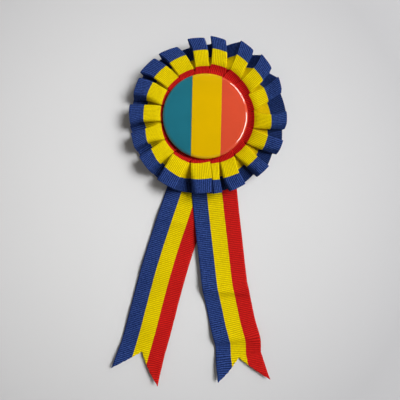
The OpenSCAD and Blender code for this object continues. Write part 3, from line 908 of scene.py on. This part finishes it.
def ribbon_material(settings):
    """Grosgrain in three stripes: fine warp threads over round ribs, with painted shade in the
    grooves and folds and painted highlights on the ribs' crests.
    """
    ribbon = settings.ribbon
    stripes = ribbon.red, ribbon.yellow, ribbon.blue
    paint = Paint("striped_grosgrain", Specular_IOR_Level=0.005)
    along, across, _ = paint.parts(paint.node("ShaderNodeUVMap", {"uv_map": "Ribbon"}))
    wavering = 0.16 * MM
    edge = across + (paint.noise(paint.place, 900, 1) - 0.5) * wavering
    third = ribbon.width / 3
    soft = 0.10 * MM
    in_yellow, in_blue = (paint.step(edge, n * third - soft, n * third + soft) for n in (1, 2))
    masks = in_yellow, in_blue
    groove = abs(paint.maths("FRACT", along / ribbon.rib_pitch) * 2 - 1) ** 1.8
    thread_pitch = 0.17 * MM
    thread = abs(paint.maths("FRACT", across / thread_pitch) * 2 - 1)
    fleck = paint.noise(paint.place, 2600, 2) - 0.5
    speck = paint.noise(paint.place, 1000, 1) - 0.5
    cloudy = paint.noise(paint.place, 60, 3) - 0.5
    colour = paint.striped(masks, stripes)
    # Where blue and yellow warps meet, both show, in shade
    meeting = paint.step(abs(edge - 2 * third), 0.40 * MM, 0.05 * MM)
    colour = paint.blend(meeting * 0.5, colour, (0.10, 0.10, 0.02, 1))
    # Painted shade darkens the grooves, where less light reaches, and painted highlights pale the ribs'
    # crests
    deep = paint.striped(masks, (rgb(ribbon.red, 0.45), (0.46, 0.29, 0.001), rgb(ribbon.blue, 0.12)))
    highlight_colour = paint.striped(masks, (rgb(ribbon.red, 1.25), rgb(ribbon.yellow, 1.12), (0.050, 0.098, 0.345)))
    shade = groove * 1.5 + thread * 0.08 + fleck * 0.3 - speck * 0.5 + cloudy * 0.25
    crest_highlight = (1 - groove) * (speck * 1.2 + fleck + 0.55)
    colour = paint.blend(paint.clamp(shade), colour, deep)
    colour = paint.blend(paint.clamp(crest_highlight), colour, highlight_colour)
    # Painted shade darkens the cloth inside the folds, where less light reaches
    valley_shade_mask = paint.node("ShaderNodeAttribute", {"attribute_name": "Dye"}, output="Fac")
    dye = paint.striped(masks, ((0.60, 0.50, 0.50), (0.86, 0.74, 0.60), (0.38, 0.40, 0.42)))
    paint.set(Base_Color=paint.blend(valley_shade_mask, colour, dye, "MULTIPLY"),
              Roughness=0.55 + thread * 0.12 + fleck * 0.2)
    height = (1 - thread * 0.55) * (1 - groove * 0.4) + fleck * 0.25
    paint.bump(height, 0.55, 0.05 * MM)
    return paint.material


def badge_material(settings):
    """A print of three stripes under a clear glossy film."""
    badge = settings.badge
    paint = Paint("filmed_print", Specular_IOR_Level=0.0, Coat_Weight=1.0, Coat_Roughness=0.02,
                  Coat_IOR=1.55)
    x, y, _ = paint.parts(paint.place)
    aside = x - BADGE_CENTRE[0] - badge.stripe_x - (y - BADGE_CENTRE[1]) * math.tan(badge.turn)
    soft, half = 0.07 * MM, badge.stripe / 2
    masks = [paint.step(aside, side - soft, side + soft) for side in (-half, half)]
    cloudy = paint.noise(paint.place, 38, 3)
    dots = paint.noise(paint.place, 1400, 1)
    colour = paint.striped(masks, (badge.teal, badge.yellow, badge.orange_red))
    # The teal and yellow inks overlap in a thin darker line
    meeting = paint.step(abs(aside + half), 0.45 * MM, 0.10 * MM)
    colour = paint.blend(meeting * 0.55, colour, (0.05, 0.10, 0.04, 1))
    deep = paint.striped(masks, (rgb(badge.teal, 0.72), rgb(badge.yellow, 0.86),
                                 rgb(badge.orange_red, 0.86)))
    shade = paint.clamp((cloudy - 0.38) * 1.6 + (dots - 0.5) * 0.3)
    paint.set(Base_Color=paint.blend(shade, colour, deep), Roughness=0.38 + cloudy * 0.1)
    paint.bump(paint.noise(paint.place, 55, 2), 0.06, 0.4 * MM)
    return paint.material


def metal_material(name, stretch, grain, cloud, dark, light, roughness, bump):
    """Bare or plated steel: cloudy, with brush marks or scratches stretched along X."""
    paint = Paint(name, Metallic=1.0)
    marks = paint.noise(paint.vector("MULTIPLY", paint.place, stretch), *grain)
    cloudy = paint.noise(paint.place, cloud, 3)
    paint.set(Base_Color=paint.blend(cloudy, rgb(dark), rgb(light)),
              Roughness=roughness[0] + marks * roughness[1])
    paint.bump(marks, *bump)
    return paint.material


def tinplate_material():
    return metal_material("tinplate", (1, 14, 1), (260, 4, 0.6), 70, (0.46, 0.46, 0.45),
                          (0.66, 0.66, 0.64), (0.24, 0.22), (0.12, 0.03 * MM))


def nickel_material():
    return metal_material("nickel_plate", (40, 600, 600), (6, 3, 0.7), 180, (0.60, 0.58, 0.54),
                          (0.74, 0.72, 0.68), (0.18, 0.20), (0.08, 0.02 * MM))


def card_material():
    """Matt white card with fibres and slightly yellowed."""
    paint = Paint("white_card")
    fibres = paint.noise(paint.place, 1500, 4, 0.7)
    yellowed = paint.noise(paint.place, 45, 3) * 0.7 + (fibres - 0.5) * 0.8
    paint.set(Base_Color=paint.blend(paint.clamp(yellowed), (0.78, 0.75, 0.68, 1), (0.62, 0.58, 0.50, 1)),
              Roughness=0.78 + fibres * 0.15)
    paint.bump(fibres, 0.4, 0.06 * MM)
    return paint.material


def floor_material():
    """Pale, faintly mottled studio paper, with a painted falloff of light that darkens it away from
    its lightest place.
    """
    paint = Paint("pale_floor", Roughness=0.9)
    light_pool_centre, falloff_reach = (-55 * MM, -60 * MM, 0), 210 * MM
    away = paint.vector("DISTANCE", paint.place, light_pool_centre, output=1)
    cloudy = paint.noise(paint.place, 9, 3)
    colour = paint.blend(cloudy, (0.735, 0.735, 0.74, 1), (0.765, 0.765, 0.77, 1))
    # Painted falloff of light: the paper darkens away from its lightest place
    painted_falloff = paint.clamp(away / falloff_reach) ** 2
    paint.set(Base_Color=paint.blend(painted_falloff, colour, (0.50, 0.50, 0.515, 1)))
    return paint.material


# The badge

BADGE_SIDES = 288


def badge_profile():
    """Outline of the button from the middle of its dome round its rolled rim, as (r, z)."""
    radius = BADGE_RADIUS
    height = BADGE_HIGH[2] - BADGE_LOW[2]
    shoulder, roll, lip, wall = 2.3 * MM, 1.2 * MM, 3.0 * MM, 0.5 * MM
    crown = 1.5 * MM
    start = radius - shoulder
    dome = (start ** 2 + (shoulder + crown) ** 2 - shoulder ** 2) / (2 * crown)
    slope = math.asin(start / (dome - shoulder))
    points = [(dome * math.sin(t), height - dome + dome * math.cos(t))
              for t in np.linspace(0, slope, 30)]
    top = height - shoulder - crown
    points += [(start + shoulder * math.sin(t), top + shoulder * math.cos(t))
               for t in np.linspace(slope, math.pi / 2, 18)[1:]]
    points += [(radius, z) for z in np.linspace(top, roll, 4)[1:]]
    points += [(radius - roll + roll * math.cos(t), roll - roll * math.sin(t))
               for t in np.linspace(0, math.pi / 2, 12)[1:]]
    points += [(r, 0) for r in np.linspace(radius - roll, radius - lip, 6)[1:]]
    # Back through the hollow inside to its middle
    points += [(radius - lip, wall), (radius - roll, wall + 0.1 * MM)]
    points += [(radius - wall, roll + wall), (radius - wall, top)]
    points += [(start * 0.9, height - crown - wall * 2), (0, height - wall * 2)]
    return points


def film_pucker(r, z, angles):
    """How the film puckers where it is drawn round the rim to the back, and not inside the shell."""
    depth, folds, groups = 0.05 * MM, 76, 9
    drawn = ease((2.2 * MM - z) / (2.0 * MM)) * ease((r - 20 * MM) / (4 * MM))
    pucker = depth * np.sin(angles * folds) * np.sin(angles * groups + 1)
    return pucker * drawn, np.abs(pucker) * drawn * 0.6


def build_badge(material):
    """The button's domed shell under its film."""
    centre = (BADGE_CENTRE[0], BADGE_CENTRE[1], BADGE_LOW[2])
    piece = turned_object("badge_film_shell", badge_profile(), centre, BADGE_SIDES, material, film_pucker)
    hand_in(piece, "badge_shell")


# The hidden pieces behind

HIDDEN_SIDES = 160


def build_plate(material):
    """The button's back plate: a pressed rim round a flat middle."""
    centre = (PLATE_LOW + PLATE_HIGH) / 2
    flange = (PLATE_HIGH[0] - PLATE_LOW[0]) / 2
    height = PLATE_HIGH[2] - PLATE_LOW[2]
    lip, bead, step = BADGE_RADIUS - 3.3 * MM, 1.6 * MM, 1.3 * MM
    groove, bend, worn = 0.25 * MM, 0.3 * MM, 0.2 * MM
    profile = [(0, 0), (lip * 0.55, 0), (lip * 0.6, groove), (lip * 0.66, groove),
               (lip * 0.71, 0), (lip - bend, 0), (lip, bend), (lip, step),
               (flange - worn, step), (flange, step + worn), (flange, height - worn),
               (flange - worn, height), (lip - bead, height), (0, height)]
    piece = turned_object("badge_back_plate", profile, (centre[0], centre[1], PLATE_LOW[2]),
                          HIDDEN_SIDES, material)
    hand_in(piece, "badge_back")


def build_disc(material):
    """The card disc, with softly worn edges."""
    radius = (DISC_HIGH[0] - DISC_LOW[0]) / 2
    thick = DISC_HIGH[2] - DISC_LOW[2]
    worn = 0.25 * MM
    lower = [(0, 0), (radius * 0.5, 0), (radius - worn, 0), (radius - worn * 0.3, worn * 0.3),
             (radius, worn)]
    upper = [(r, thick - z) for r, z in reversed(lower)]
    piece = turned_object("card_disc", lower + upper, (0, 0, DISC_LOW[2]), HIDDEN_SIDES, material)
    hand_in(piece, "backing_disc")


def add_box(net, low, high):
    """A box between two corners."""
    for v in bmesh.ops.create_cube(net, size=1.0)["verts"]:
        v.co = [mix(low[i], high[i], v.co[i] + 0.5) for i in range(3)]


def add_rod(net, start, end, radii, sides=16):
    """A round rod along X through rings of these radii, at shares of its length."""
    rings = []
    for t, radius in radii:
        x, y, z = (mix(a, b, t) for a, b in zip(start, end))
        rings.append([net.verts.new((x, y + radius * math.cos(a), z + radius * math.sin(a)))
                      for a in np.linspace(0, 2 * math.pi, sides, endpoint=False)])
    for one, two in zip(rings, rings[1:]):
        for j in range(sides):
            k = (j + 1) % sides
            net.faces.new((one[j], one[k], two[k], two[j]))
    net.faces.new(rings[0][::-1])
    net.faces.new(rings[-1])


def build_pin(material):
    """The bar pin, one plain piece: bar, hinge block, catch and the wire between them."""
    low, high = PIN_LOW, PIN_HIGH
    bar_thick, block, wire = 0.8 * MM, 4 * MM, 0.5 * MM
    middle_y, wire_z = (low[1] + high[1]) / 2, low[2] + 1.0 * MM
    net = bmesh.new()
    add_box(net, (low[0], low[1], high[2] - bar_thick), high)
    for x in (low[0], high[0] - block):
        add_box(net, (x, middle_y - block / 2, low[2]),
                (x + block, middle_y + block / 2, high[2] - bar_thick / 2))
    radii = [(0, wire), (0.8, wire), (0.93, wire * 0.7), (1, wire * 0.3)]
    add_rod(net, (low[0] + block * 0.5, middle_y, wire_z),
            (high[0] - block * 0.3, middle_y, wire_z), radii)
    bmesh.ops.recalc_face_normals(net, faces=net.faces)
    mesh = bpy.data.meshes.new("bar_pin")
    net.to_mesh(mesh)
    net.free()
    piece = in_scene("bar_pin", mesh, material)
    bevel = piece.modifiers.new("rounded_edges", "BEVEL")
    bevel.width = 0.3 * MM
    bevel.segments = 3
    bevel.limit_method = "ANGLE"
    bevel.harden_normals = True
    hand_in(piece, "brooch_pin")


# The stage

LAMP_DISTANCE = 2.0
FLOOR_HALF = 1.5
# Each lamp's azimuth above +X and elevation in degrees, and its width and height in metres
Lamp = namedtuple("Lamp", "azimuth elevation width height")
KEY_WINDOW = Lamp(20, 52, 1.10, 0.80)
# These two show only in what is glossy
REFLECTIONS = {"upper_reflection": Lamp(45, 22, 0.95, 0.90), "lower_reflection": Lamp(-5, 30, 1.45, 0.95)}


def area_light(name, lamp, power, colour=(1, 1, 1)):
    """A rectangular light that faces the badge."""
    a, e = math.radians(lamp.azimuth), math.radians(lamp.elevation)
    direction = Vector((math.cos(a) * math.cos(e), math.sin(a) * math.cos(e), math.sin(e)))
    light = bpy.data.lights.new(name, "AREA")
    light.shape = "RECTANGLE"
    light.size = lamp.width
    light.size_y = lamp.height
    light.energy = power
    light.color = colour
    made = bpy.data.objects.new(name, light)
    bpy.context.scene.collection.objects.link(made)
    made.location = direction * LAMP_DISTANCE
    made.rotation_euler = direction.to_track_quat("Z", "Y").to_euler()
    return made


def room(strength):
    """Dim light from pale walls, darker overhead so that the dome mirrors little there."""
    world = bpy.data.worlds.new("room")
    world.use_nodes = True
    nodes = Nodes(world.node_tree)
    background = world.node_tree.nodes["Background"]
    background.inputs["Color"].default_value = (1.0, 0.95, 0.88, 1)
    _, _, z = nodes.parts(nodes.node("ShaderNodeTexCoord", output="Generated"))
    nodes.join(nodes.step(z, 0.6, 0.95, strength, 0), background.inputs["Strength"])
    return world


def build_stage(settings, material):
    """Floor, lights and camera."""
    stage, scene = settings.stage, bpy.context.scene
    mesh = bpy.data.meshes.new("floor")
    mesh.from_pydata([(x * FLOOR_HALF, y * FLOOR_HALF, -0.05 * MM)
                      for x, y in ((-1, -1), (1, -1), (1, 1), (-1, 1))], [], [(0, 1, 2, 3)])
    in_scene("floor", mesh, material, smooth=False)
    key = area_light("key_window", KEY_WINDOW, stage.key_power, (0.99, 0.995, 1.0))
    key.visible_glossy = False
    for name, lamp in REFLECTIONS.items():
        mirrored = area_light(name, lamp, stage.gloss_power * lamp.width * lamp.height)
        mirrored.visible_diffuse = False
    scene.world = room(stage.sky)
    scene.view_settings.view_transform = "Standard"
    camera_data = bpy.data.cameras.new("camera")
    camera_data.lens = 36
    camera_data.sensor_width = 36
    camera_data.clip_start = 0.01
    camera_data.clip_end = 10
    camera = bpy.data.objects.new("camera", camera_data)
    scene.collection.objects.link(camera)
    camera.location = (CAMERA_X, CAMERA_Y, stage.camera_height)
    scene.camera = camera


# Operators and panel

def shared_material(name, make, *values):
    """The material of this name, made when it is first used."""
    return bpy.data.materials.get(name) or make(*values)


class COCKADE_OT_ruffle(bpy.types.Operator):
    """Make the ring of pleated ribbon"""
    bl_idname = "cockade.ruffle"
    bl_label = "Pleated ring"

    def execute(self, context):
        settings = context.scene.cockade
        build_ruffle(settings, shared_material("striped_grosgrain", ribbon_material, settings))
        return {"FINISHED"}


class COCKADE_OT_tails(bpy.types.Operator):
    """Make the two swallow-tailed ribbon ends"""
    bl_idname = "cockade.tails"
    bl_label = "Tails"

    def execute(self, context):
        settings = context.scene.cockade
        tails, thickness = settings.tails, settings.ribbon.thickness
        cloth = shared_material("striped_grosgrain", ribbon_material, settings)
        # The right tail is sewn on the left one, and lies on it further down
        step = thickness + 0.2 * MM
        seat = DISC_LOW[2] - 0.3 * MM - thickness * 1.25
        left = TailShape(LEFT_COURSE, LEFT_BENDS, 1.0 * MM, (0.89, 0.98), (0, 1.6 * MM), 0)
        right = TailShape(RIGHT_COURSE, RIGHT_BENDS, 1.2 * MM, (0.70, 1.00), (1.0 * MM, 0), step)
        build_tail("left_tail_ribbon", "tail_left", left, tails.left_length, seat - step, settings, cloth)
        build_tail("right_tail_ribbon", "tail_right", right, tails.right_length, seat, settings, cloth)
        return {"FINISHED"}


class COCKADE_OT_badge(bpy.types.Operator):
    """Make the button badge with its printed and filmed face"""
    bl_idname = "cockade.badge"
    bl_label = "Badge"

    def execute(self, context):
        build_badge(shared_material("filmed_print", badge_material, context.scene.cockade))
        build_plate(shared_material("tinplate", tinplate_material))
        return {"FINISHED"}


class COCKADE_OT_back(bpy.types.Operator):
    """Make the card disc and the bar pin behind the ring"""
    bl_idname = "cockade.back"
    bl_label = "Disc and pin"

    def execute(self, context):
        build_disc(shared_material("white_card", card_material))
        build_pin(shared_material("nickel_plate", nickel_material))
        return {"FINISHED"}


class COCKADE_OT_stage(bpy.types.Operator):
    """Make the floor, the lights and the camera"""
    bl_idname = "cockade.stage"
    bl_label = "Stage"

    def execute(self, context):
        build_stage(context.scene.cockade, shared_material("pale_floor", floor_material))
        return {"FINISHED"}


class COCKADE_PT_panel(bpy.types.Panel):
    """Lists the pieces of the cockade"""
    bl_idname = "COCKADE_PT_panel"
    bl_label = "Ribbon cockade"
    bl_space_type = "VIEW_3D"
    bl_region_type = "UI"
    bl_category = "Cockade"

    def draw(self, context):
        settings = context.scene.cockade
        for title in settings.__annotations__:
            group = getattr(settings, title)
            box = self.layout.box()
            box.label(text=title.capitalize())
            for name in group.__annotations__:
                box.prop(group, name)
        for operator in OPERATORS:
            self.layout.operator(operator.bl_idname)


SETTINGS = (RibbonSettings, RuffleSettings, TailSettings, BadgeSettings, StageSettings, CockadeSettings)
OPERATORS = (COCKADE_OT_ruffle, COCKADE_OT_tails, COCKADE_OT_badge, COCKADE_OT_back, COCKADE_OT_stage)
CLASSES = (*SETTINGS, *OPERATORS, COCKADE_PT_panel)


def register():
    for one in CLASSES:
        bpy.utils.register_class(one)
    bpy.types.Scene.cockade = PointerProperty(type=CockadeSettings)


def unregister():
    del bpy.types.Scene.cockade
    for one in reversed(CLASSES):
        bpy.utils.unregister_class(one)


def main():
    register()
    for make in (bpy.ops.cockade.ruffle, bpy.ops.cockade.tails, bpy.ops.cockade.badge,
                 bpy.ops.cockade.back, bpy.ops.cockade.stage):
        if make() != {"FINISHED"}:
            raise RuntimeError(f"{make.idname()} didn't finish")


if __name__ == "__main__":
    main()
